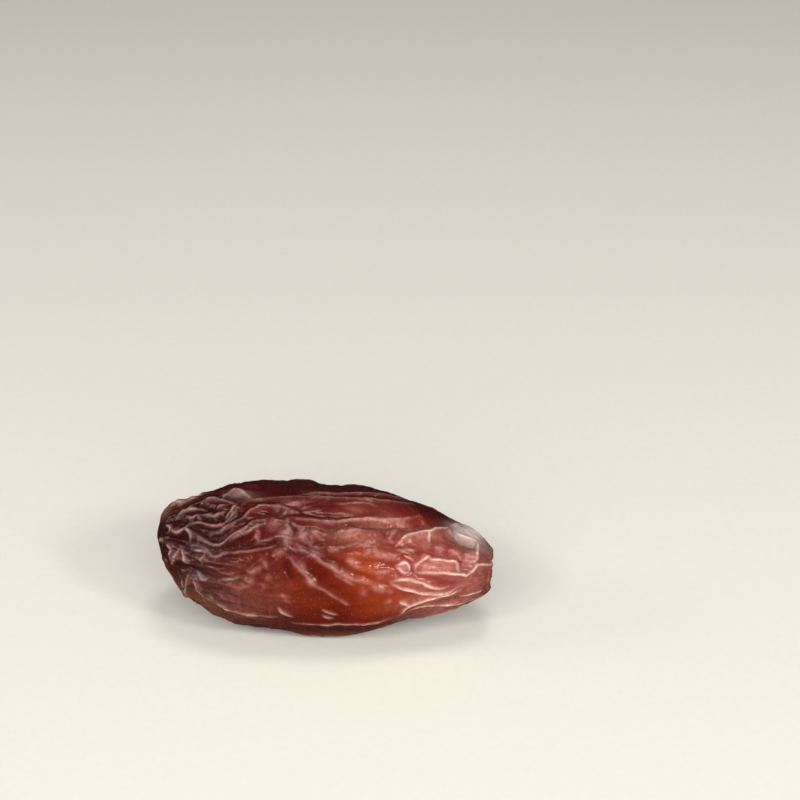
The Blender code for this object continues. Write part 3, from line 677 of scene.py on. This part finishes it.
height_kept = relief_kept * relief
narrow = height_kept - blurred(height_kept, NARROW_PASSES)
broad = height_kept - blurred(height_kept, BROAD_PASSES)
degrees_up = np.degrees(angle)
tip_edge = share * LENGTH + DARK_TIP_WAVE * patches(share, angle, *DARK_TIP_PATCH, TIP_EDGE_LAYER)
skin_marks = {
    "crest": between(0.0, 0.22, narrow),
    # Painted shade: where the relief sinks into a crease, the colour is darkened.
    "hollow": between(0.02, 0.18, -narrow),
    "swell": between(-0.1, 0.5, broad),
    # Painted glints: thin pale highlight lines along the sharp crests.
    "painted glint line": painted_glints,
    "blister_pallor_and_highlight": blister_pallor_and_highlight,
    "dark tip": 1 - between(*DARK_TIP_MM, tip_edge),
    # Painted glow: orange where light shines through the flesh.
    "painted_glow": patch_of(
        (
            (30, 26, 4.2, 3.8, -15, 1.0),
            (22, 2, 8, 4, -10, 0.3),
            (32, -1, 5, 4, 0, 0.7),
            (36.5, -18, 4, 1.2, 8, 0.9),
            (20.5, 12, 2, 2, 0, 0.35),
        )
    ),
    "rosy": patch_of(((37.5, 30, 9.0, 7.5, 0, 1.0), (33, 80, 9.0, 3.2, 5, 0.8))),
    # Pale loosened skin; the patch low on the underside is a painted reflection of the floor.
    "loose_skin_and_sheen": patch_of(
        (
            (39, 34, 3.0, 1.2, 0, 0.65),
            (36.5, 12, 3.6, 1.3, -20, 0.5),
            (39, -8, 4.5, 1.6, 8, 0.6),
            (40, -34, 6.0, 1.8, 5, 0.55),
            (43.5, 10, 2.5, 4.0, 0, 0.45),
            (37, 70, 3.5, 1.4, 25, 0.6),
            (34.7, 31, 0.8, 0.8, 0, 0.8),
            (28.5, 56, 5, 1.3, 0, 0.3),
            (31, 68, 3.5, 1.0, -8, 0.3),
            (13, -9, 6.0, 5.0, 0, 0.18),
            (34, 76, 3.0, 0.9, -20, 0.5),
        )
    ),
    # Painted highlights: grey-white reflections on the stem end's top facet and on the tip.
    "painted highlight patch": patch_of(((42.5, 104, 2.1, 2.1, -15, 1.0), (11.5, 92, 1.9, 0.9, 0, 0.2))),
    # Amber skin at the tip; the long patch on the lower edge is a painted rim reflection.
    "amber_and_rim_sheen": patch_of(
        (
            (2.8, 116, 2.8, 1.0, 0, 0.8),
            (13.8, 84, 2.0, 0.5, 10, 0.4),
            (25, -52, 8, 1.6, 0, 0.35),
            (7, -30, 3, 2.5, 0, 0.3),
        )
    ),
    # Painted shade: darker on the top at the back and on the underside, by the way the skin faces.
    "painted shade top and under": between(86, 114, degrees_up) + 0.5 * between(0, 40, -degrees_up),
    "scar": scar_dish,
}
for name, values in skin_marks.items():
    mark = skin_mesh.attributes.new(name, "FLOAT", "POINT")
    mark.data.foreach_set("value", np.clip(values, 0, 1).astype(np.float32))


# The skin's finish: a thin, glossy and slightly clear film over dark red flesh. The creases are
# darkened with painted shade, and the crests, where the film stands off it, are paler and greyer,
# partly with painted sheen.
class Wire:
    """A socket in a material's node tree. Arithmetic on wires adds the Math nodes for it."""

    def __init__(self, tree, socket=None):
        self.tree = tree
        self.socket = socket

    def node(self, kind, settings=(), sockets=(), out=0):
        """Adds a node of this kind, settings first and then sockets, and gives its output."""
        node = self.tree.nodes.new(kind)
        for name, value in dict(settings).items():
            setattr(node, name, value)
        for name, value in dict(sockets).items():
            if isinstance(value, Wire):
                self.tree.links.new(value.socket, node.inputs[name])
            else:
                node.inputs[name].default_value = value
        return Wire(self.tree, node.outputs[out])

    def maths(self, operation, *values):
        return self.node("ShaderNodeMath", {"operation": operation}, dict(enumerate(values)))

    def __add__(self, other):
        return self.maths("ADD", self, other)

    def __radd__(self, other):
        return self.maths("ADD", other, self)

    def __sub__(self, other):
        return self.maths("SUBTRACT", self, other)

    def __rsub__(self, other):
        return self.maths("SUBTRACT", other, self)

    def __mul__(self, other):
        return self.maths("MULTIPLY", self, other)

    def __rmul__(self, other):
        return self.maths("MULTIPLY", other, self)

    def __abs__(self):
        return self.maths("ABSOLUTE", self)

    def ramp(self, low, high):
        """0 up to low, 1 from high, and a smooth rise from one to the other."""
        return self.node(
            "ShaderNodeMapRange",
            {"interpolation_type": "SMOOTHSTEP"},
            {"Value": self, "From Min": low, "From Max": high},
        )

    def mark(self, name):
        """A number that the mesh carries at each point."""
        return self.node("ShaderNodeAttribute", {"attribute_name": name}, out="Fac")

    def tinted(self, share, tint):
        """This colour with a share of another over it."""
        return self.node(
            "ShaderNodeMix", {"data_type": "RGBA"}, {"Factor": share, 6: self, 7: tint}, out=2
        )


FLESH_RED = (0.056, 0.0026, 0.0012, 1)
CREASE_SHADE_RED = (0.020, 0.0012, 0.0007, 1)
PAINTED_GLOW_ORANGE = (0.23, 0.028, 0.004, 1)
TIP_MAROON = (0.018, 0.0030, 0.0022, 1)
TIP_SHEEN_MAUVE = (0.14, 0.065, 0.055, 1)
BACK_AND_UNDER_SHADE_RED = (0.036, 0.002, 0.0011, 1)
CREST_PALE_AND_SHEEN_MAUVE = (0.12, 0.025, 0.018, 1)
PUFF_PALE_AND_HIGHLIGHT_PINK = (0.31, 0.12, 0.098, 1)
GLINT_PINK = (0.70, 0.50, 0.43, 1)
LOOSE_SKIN_AND_SHEEN_PINK = (0.46, 0.20, 0.16, 1)
HIGHLIGHT_GREY = (0.56, 0.48, 0.42, 1)
ROSY_RED = (0.27, 0.028, 0.018, 1)
AMBER_AND_RIM_SHEEN = (0.34, 0.15, 0.05, 1)
SPECK_PALE = (0.75, 0.6, 0.5, 1)
SCAR_TAN = (0.33, 0.19, 0.10, 1)

skin_finish = bpy.data.materials.new("glossy dried skin")
skin_finish.use_nodes = True
shader = skin_finish.node_tree.nodes["Principled BSDF"]
wire = Wire(skin_finish.node_tree)
place = wire.node("ShaderNodeTexCoord", out="Object")
lengthwise = wire.node(
    "ShaderNodeMapping", sockets={"Vector": place, "Scale": (0.35, 1.0, 1.0)}
)


def grain(size, detail=3.0, coordinates=place, roughness=0.5, distortion=0.0):
    """Smooth random numbers from 0 to 1 in patches of this size in mm."""
    return wire.node(
        "ShaderNodeTexNoise",
        {"noise_dimensions": "3D"},
        {
            "Vector": coordinates,
            "Scale": 1 / (size * MM),
            "Detail": detail,
            "Roughness": roughness,
            "Distortion": distortion,
        },
    )


blotches = grain(3.0, 4.0)
mottle = grain(0.7, 4.0, roughness=0.65)
crest = wire.mark("crest")
hollow = wire.mark("hollow")
swell = wire.mark("swell")
line = wire.mark("painted glint line")
puff = wire.mark("blister_pallor_and_highlight")
tip = wire.mark("dark tip")
painted_glow = wire.mark("painted_glow")
rosy = wire.mark("rosy")
loose_skin_and_sheen = wire.mark("loose_skin_and_sheen")
cap = wire.mark("painted highlight patch")
amber_and_rim_sheen = wire.mark("amber_and_rim_sheen")
back = wire.mark("painted shade top and under")
scar = wire.mark("scar")

SPECK_SPACING = 0.38
speck_cells = {"Vector": place, "Scale": 1 / (SPECK_SPACING * MM)}
speck_away = wire.node("ShaderNodeTexVoronoi", sockets=speck_cells)
speck_draw = wire.node("ShaderNodeTexVoronoi", sockets=speck_cells, out="Color")
speck_kept = wire.node("ShaderNodeSeparateColor", sockets={"Color": speck_draw})
specks = (1 - speck_away.ramp(0.05, 0.28)) * speck_kept.ramp(0.3, 1.0)

frosting = grain(0.24, 3.0, roughness=0.7)
uneven = (0.6 * mottle + 0.4 * frosting).ramp(0.36, 0.64)
base = wire.node("ShaderNodeRGB")
base.socket.default_value = FLESH_RED
colour = base.tinted(rosy * (0.15 + 0.6 * blotches), ROSY_RED)
# Painted glow of light through the flesh.
colour = colour.tinted(painted_glow * (0.55 + 0.7 * blotches), PAINTED_GLOW_ORANGE)
colour = colour.tinted(tip * 0.85, TIP_MAROON)
# Painted shade in the creases.
colour = colour.tinted(hollow * (0.5 + 0.5 * tip) * (1 - 0.7 * rosy), CREASE_SHADE_RED)
# Painted shade on the top at the back and on the underside.
colour = colour.tinted(back * 0.8, BACK_AND_UNDER_SHADE_RED)
# Amber skin, with a painted rim reflection along the lower edge.
colour = colour.tinted(amber_and_rim_sheen * (0.3 + 0.7 * blotches), AMBER_AND_RIM_SHEEN)
# Paler crests and swells: partly the film standing off the flesh, partly painted sheen.
pale_and_sheen = (0.26 * crest + 0.35 * swell.ramp(0.35, 0.9)) * (0.3 + 1.1 * uneven)
colour = colour.tinted(pale_and_sheen * (1 - 0.6 * tip), CREST_PALE_AND_SHEEN_MAUVE)
# Painted sheen on the tip's swelling facets.
colour = colour.tinted(tip * swell.ramp(0.4, 0.85) * (0.2 + 0.45 * uneven), TIP_SHEEN_MAUVE)
# Painted pink sheen on the crests of the rosy stem end.
colour = colour.tinted(rosy * crest * (0.12 + 0.55 * uneven) * (1 - back), LOOSE_SKIN_AND_SHEEN_PINK)
# Paler blisters: partly the loosened skin, partly a painted highlight.
colour = colour.tinted(puff * (0.35 + 0.6 * uneven) * (1 - 0.6 * back), PUFF_PALE_AND_HIGHLIGHT_PINK)
# Pale loosened skin, with a painted reflection of the floor on the underside.
colour = colour.tinted(loose_skin_and_sheen * (0.35 + 0.55 * uneven), LOOSE_SKIN_AND_SHEEN_PINK)
# Painted highlights on the stem end's top facet and on the tip.
colour = colour.tinted(cap * (0.7 + 0.25 * uneven), HIGHLIGHT_GREY)
# Painted glints along the sharp crests.
colour = colour.tinted(line * (0.5 + 0.5 * uneven), GLINT_PINK)
colour = colour.tinted(specks * 0.045, SPECK_PALE)
colour = colour.tinted(scar * (0.5 + 0.5 * uneven), SCAR_TAN)

ripples = grain(0.7, 4.0, lengthwise, 0.6, 0.4)
ripple_crests = 1 - abs(ripples - 0.5) * 4
bump_height = ripple_crests * (0.3 + 0.6 * tip) + frosting * 0.35 + mottle * 0.8
normal = wire.node(
    "ShaderNodeBump", sockets={"Strength": 1.0, "Distance": 0.035 * MM, "Height": bump_height}
)
rough = 0.09 + 0.14 * blotches + 0.10 * mottle + 0.04 * loose_skin_and_sheen + 0.2 * specks + 0.3 * scar
for socket, value in {"Base Color": colour, "Roughness": rough, "Normal": normal}.items():
    skin_finish.node_tree.links.new(value.socket, shader.inputs[socket])
shader.inputs["Metallic"].default_value = 0.0
shader.inputs["IOR"].default_value = 1.5
shader.inputs["Specular IOR Level"].default_value = 0.4
shader.inputs["Specular Tint"].default_value = (1.0, 0.74, 0.66, 1)
shader.inputs["Subsurface Weight"].default_value = 0.3
shader.inputs["Subsurface Radius"].default_value = (1.0, 0.22, 0.1)
shader.inputs["Subsurface Scale"].default_value = 0.8 * MM
skin_mesh.materials.append(skin_finish)

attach(skin, "root")
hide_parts("date")

# The floor: a plain pale board under soft light, wide enough to fill every view. The skin doesn't
# mirror it, so that the low skin stays dark.
FLOOR_HALF_SIZE = 2.5
FLOOR_PALE = (0.66, 0.635, 0.565, 1)
FLOOR_SHADE = (0.62, 0.595, 0.525, 1)

floor_corners = [(-1, -1), (1, -1), (1, 1), (-1, 1)]
floor_mesh = bpy.data.meshes.new("floor")
floor_mesh.from_pydata(
    [(x * FLOOR_HALF_SIZE, y * FLOOR_HALF_SIZE, 0) for x, y in floor_corners], [], [(0, 1, 2, 3)]
)
floor = bpy.data.objects.new("floor", floor_mesh)
bpy.context.scene.collection.objects.link(floor)
floor_finish = bpy.data.materials.new("pale board")
floor_finish.use_nodes = True
floor_shader = floor_finish.node_tree.nodes["Principled BSDF"]
floor_wire = Wire(floor_finish.node_tree)
floor_place = floor_wire.node("ShaderNodeTexCoord", out="Object")
board_grain = floor_wire.node(
    "ShaderNodeTexNoise", sockets={"Vector": floor_place, "Scale": 900.0, "Detail": 4.0}
)
board = floor_wire.node("ShaderNodeRGB")
board.socket.default_value = FLOOR_PALE
board = board.tinted(board_grain, FLOOR_SHADE)
floor_finish.node_tree.links.new(board.socket, floor_shader.inputs["Base Color"])
floor_shader.inputs["Roughness"].default_value = 0.85
floor_mesh.materials.append(floor_finish)
floor.visible_glossy = False

# The light of a small photo studio: a white dome that is dim at the front, at the back and low
# down, and soft boxes above, to the left and on both sides of the camera. A wide one in front
# fills the shade and isn't mirrored.
LOOK_AT = Vector((0, 0, 9 * MM))


def softbox(name, place, size, brightness):
    """A square soft light of this size in metres, turned towards the fruit."""
    lamp = bpy.data.lights.new(name, "AREA")
    lamp.size = size
    lamp.energy = brightness * size * size * math.pi
    box = bpy.data.objects.new(name, lamp)
    box.location = place
    box.rotation_euler = (LOOK_AT - Vector(place)).to_track_quat("-Z", "Y").to_euler()
    bpy.context.scene.collection.objects.link(box)
    return box


softbox("overhead softbox", (0.05, 0.05, 0.52), 0.16, 9.0)
softbox("front right softbox", (0.40, -0.30, 0.32), 0.10, 42.0)
softbox("front left softbox", (-0.30, -0.40, 0.40), 0.08, 34.0)
softbox("left softbox", (-0.46, -0.06, 0.22), 0.10, 12.0)
fill = softbox("diffuse fill", (0.05, -0.70, 0.28), 1.0, 4.4)
fill.visible_glossy = False

DOME_WHITE = (1.0, 0.99, 0.97, 1)
DOME_DIM = (0.13, 0.12, 0.115, 1)
dome = bpy.data.worlds.new("studio dome")
dome.use_nodes = True
dome_wire = Wire(dome.node_tree)
direction = dome_wire.node("ShaderNodeTexCoord", out="Generated")
deep = dome_wire.node("ShaderNodeSeparateXYZ", sockets={"Vector": direction}, out="Y")
high = dome_wire.node("ShaderNodeSeparateXYZ", sockets={"Vector": direction}, out="Z")
front_dim = (0 - deep).ramp(0.25, 0.75) * (1 - high.ramp(0.55, 0.95))
back_dim = 0.95 * deep.ramp(0.1, 0.6) * (1 - high.ramp(0.45, 0.9))
low_dim = 0.75 * (1 - high.ramp(-0.25, 0.1))
dim = 1 - (1 - front_dim) * (1 - back_dim) * (1 - low_dim)
white = dome_wire.node("ShaderNodeRGB")
white.socket.default_value = DOME_WHITE
background = dome.node_tree.nodes["Background"]
dome.node_tree.links.new(white.tinted(dim, DOME_DIM).socket, background.inputs["Color"])
background.inputs["Strength"].default_value = 0.23
bpy.context.scene.world = dome

# The camera stands where the photograph's stood: a little above the fruit and almost in front of
# its long side, with the fruit low and left of the picture's middle.
PICTURE_PIXELS = 800
DATE_PIXEL = (325.0, 550.5)
DATE_HEIGHT = 10 * MM
AZIMUTH = math.radians(6)
ELEVATION = math.radians(28)
DISTANCE = 304 * MM
LENS = 100.0
SENSOR = 36.0

backward = Vector(
    (
        math.sin(AZIMUTH) * math.cos(ELEVATION),
        -math.cos(AZIMUTH) * math.cos(ELEVATION),
        math.sin(ELEVATION),
    )
)
rightward = Vector((math.cos(AZIMUTH), math.sin(AZIMUTH), 0))
upward = backward.cross(rightward)
focal_pixels = LENS / SENSOR * PICTURE_PIXELS
off_right = (DATE_PIXEL[0] - PICTURE_PIXELS / 2) / focal_pixels
off_down = (DATE_PIXEL[1] - PICTURE_PIXELS / 2) / focal_pixels
towards_date = -backward + rightward * off_right - upward * off_down
camera_place = Vector((0, 0, DATE_HEIGHT)) - towards_date * DISTANCE
turn = Matrix((rightward, upward, backward)).transposed().to_4x4()
lens = bpy.data.cameras.new("camera")
lens.lens = LENS
lens.sensor_width = SENSOR
lens.clip_start = 0.01
camera = bpy.data.objects.new("camera", lens)
camera.matrix_world = Matrix.Translation(camera_place) @ turn
bpy.context.scene.collection.objects.link(camera)
bpy.context.scene.camera = camera
bpy.context.scene.view_settings.view_transform = "Standard"
